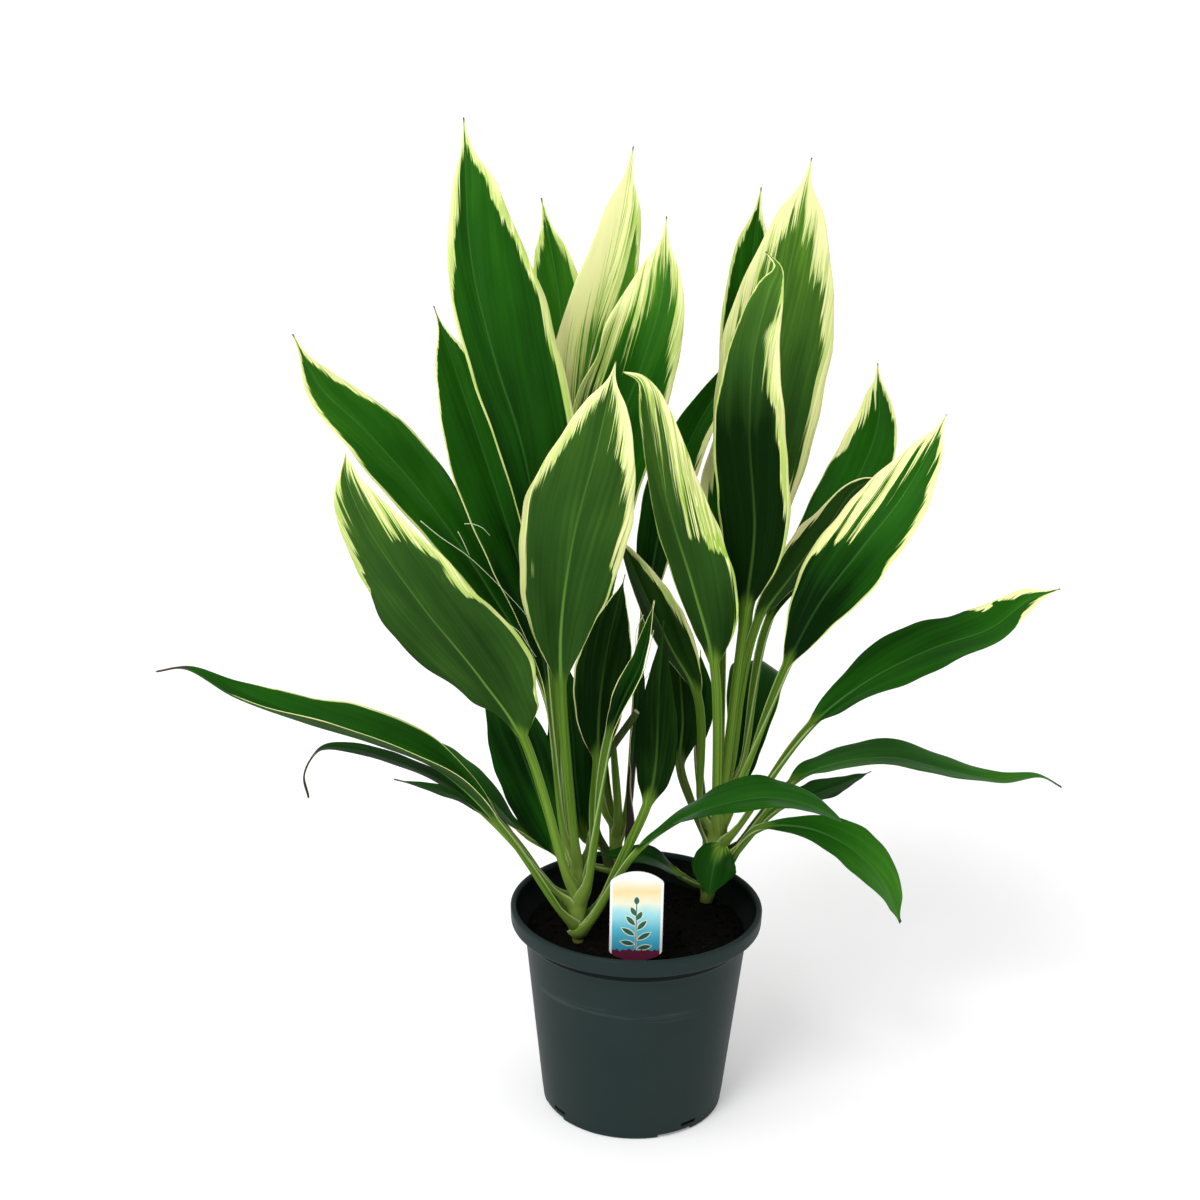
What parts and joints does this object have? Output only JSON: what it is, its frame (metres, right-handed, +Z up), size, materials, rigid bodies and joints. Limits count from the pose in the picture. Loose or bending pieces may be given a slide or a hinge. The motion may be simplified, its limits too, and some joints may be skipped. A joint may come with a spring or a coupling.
{
  "type": "potted plant",
  "caption": "Tall potted cordyline: leafy canes with long pointed green leaves, some streaked yellow, in a round dark nursery pot with a rolled rim and an upright plant label.",
  "frame": {"origin": "middle of the pot's underside, on the surface that it stands on", "axes": "+Z up along the pot's axis; the plant label faces -Y; +X is to the right when the label is seen from the front"},
  "size_m": [0.5936, 0.3658, 0.6603],
  "materials": {
    "pot": "satin dark green-grey moulded polypropylene",
    "soil": null,
    "label": "smooth printed card, white with a blue lower part",
    "sheath": null,
    "leaf": null,
    "old_stalk": null
  },
  "bodies": {
    "root": {"pot": "pot", "potting_soil": "soil", "plant_label": "label", "cane_left": "sheath", "cane_right": "sheath", "cane_rear": "sheath", "leaf_left_01": "leaf", "leaf_left_02": "leaf", "leaf_left_03": "leaf", "leaf_left_04": "leaf", "leaf_left_05": "leaf", "leaf_left_06": "leaf", "leaf_left_07": "leaf", "leaf_left_08": "leaf", "leaf_left_09": "leaf", "leaf_left_10": "leaf", "leaf_left_11": "leaf", "leaf_left_12": "leaf", "leaf_left_13": "leaf", "leaf_right_01": "leaf", "leaf_right_02": "leaf", "leaf_right_03": "leaf", "leaf_right_04": "leaf", "leaf_right_05": "leaf", "leaf_right_06": "leaf", "leaf_right_07": "leaf", "leaf_right_08": "leaf", "leaf_right_09": "leaf", "leaf_right_10": "leaf", "leaf_right_11": "leaf", "leaf_right_12": "leaf", "leaf_right_13": "leaf", "leaf_right_14": "leaf", "leaf_right_15": "leaf", "leaf_right_16": "leaf", "leaf_right_17": "leaf", "leaf_right_18": "leaf", "leaf_rear_01": "leaf", "leaf_rear_02": "leaf", "leaf_rear_03": "leaf", "leaf_rear_04": "leaf", "leaf_rear_05": "leaf", "leaf_rear_06": "leaf", "leaf_rear_07": "leaf", "cut_stalk": "old_stalk"}
  },
  "joints": []
}
